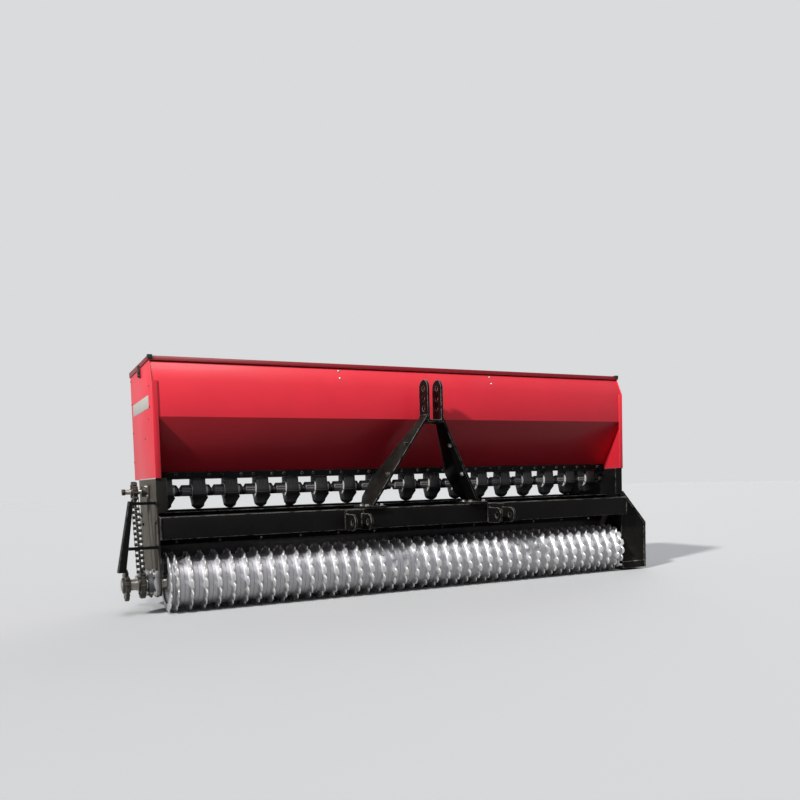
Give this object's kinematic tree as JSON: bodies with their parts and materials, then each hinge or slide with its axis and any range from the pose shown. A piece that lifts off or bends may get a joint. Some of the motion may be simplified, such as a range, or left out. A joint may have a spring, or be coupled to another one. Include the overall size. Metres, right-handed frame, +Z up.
{
  "type": "seed drill",
  "caption": "Three-point hitch seed drill: a red full-width seed hopper with metering cups over rollers of notched cast rings, on a black frame.",
  "frame": {"origin": "on the ground under the middle of the whole machine, half way between its two ends and between the hitch clevises and the lid's hinges", "axes": "+X along the rollers to the end with the folded cover, +Y from the hitch to the rear, +Z up"},
  "size_m": [3.0334, 0.809, 1.167],
  "materials": {
    "frame_paint": "satin black machine enamel",
    "hopper_paint": "gloss red machine enamel",
    "lid_paint": "dark red machine enamel",
    "zinc_steel": "zinc plated",
    "cup_plastic": "moulded black",
    "cup_rim": "moulded grey",
    "flute_plastic": "moulded grey",
    "bright_steel": "drawn bar, worn",
    "bearing_iron": "cast, grey primer",
    "ring_iron": "cast rings, galvanised, worn bright",
    "chain_steel": "oiled chain steel"
  },
  "bodies": {
    "machine": {"end_plate_left": "frame_paint", "end_plate_right": "frame_paint", "toolbar": "frame_paint", "rear_beam": "frame_paint", "seed_deflector": "frame_paint", "rear_deflector": "frame_paint", "hopper_front": "hopper_paint", "hopper_rear": "hopper_paint", "hopper_end_left": "hopper_paint", "hopper_end_right": "hopper_paint", "feed_channel": "frame_paint", "hopper_stays": "frame_paint", "lid_hinges": "zinc_steel", "metering_cups": "cup_plastic", "cup_flanges": "cup_rim", "feed_bearings": "bearing_iron", "front_bearings": "bearing_iron", "rear_bearings": "bearing_iron", "drive_chain": "chain_steel", "chain_guard": "frame_paint", "drive_cover": "frame_paint", "frame_leg_left": "frame_paint", "frame_leg_right": "frame_paint", "mast_head": "frame_paint", "leg_feet": "frame_paint", "hitch_clevis_left": "frame_paint", "hitch_clevis_right": "frame_paint"},
    "front_roller": {"front_rings": "ring_iron", "front_axle": "bright_steel", "drive_sprocket": "chain_steel"},
    "rear_roller": {"rear_rings": "ring_iron", "rear_axle": "bright_steel"},
    "feed_rotor": {"feed_shaft": "bright_steel", "fluted_rollers": "flute_plastic", "feed_sprocket": "chain_steel", "rate_knob": "cup_plastic"},
    "lid": {"lid": "lid_paint"}
  },
  "joints": [
    {"name": "front_roller_spin", "type": "hinge", "parent": "machine", "child": "front_roller", "pos_m": [0, -0.1545, 0.139], "axis": [1, 0, 0], "continuous": true},
    {"name": "rear_roller_spin", "type": "hinge", "parent": "machine", "child": "rear_roller", "pos_m": [0, 0.1135, 0.115], "axis": [1, 0, 0], "continuous": true},
    {"name": "feed_shaft_spin", "type": "hinge", "parent": "machine", "child": "feed_rotor", "pos_m": [0, -0.0435, 0.554], "axis": [1, 0, 0], "continuous": true},
    {"name": "lid_hinge", "type": "hinge", "parent": "machine", "child": "lid", "pos_m": [0, 0.3975, 1.16], "axis": [-1, 0, 0], "range_deg": [0, 100]}
  ],
  "couplings": [
    {"joint": "feed_shaft_spin", "follows": "front_roller_spin", "ratio": 1.4}
  ]
}
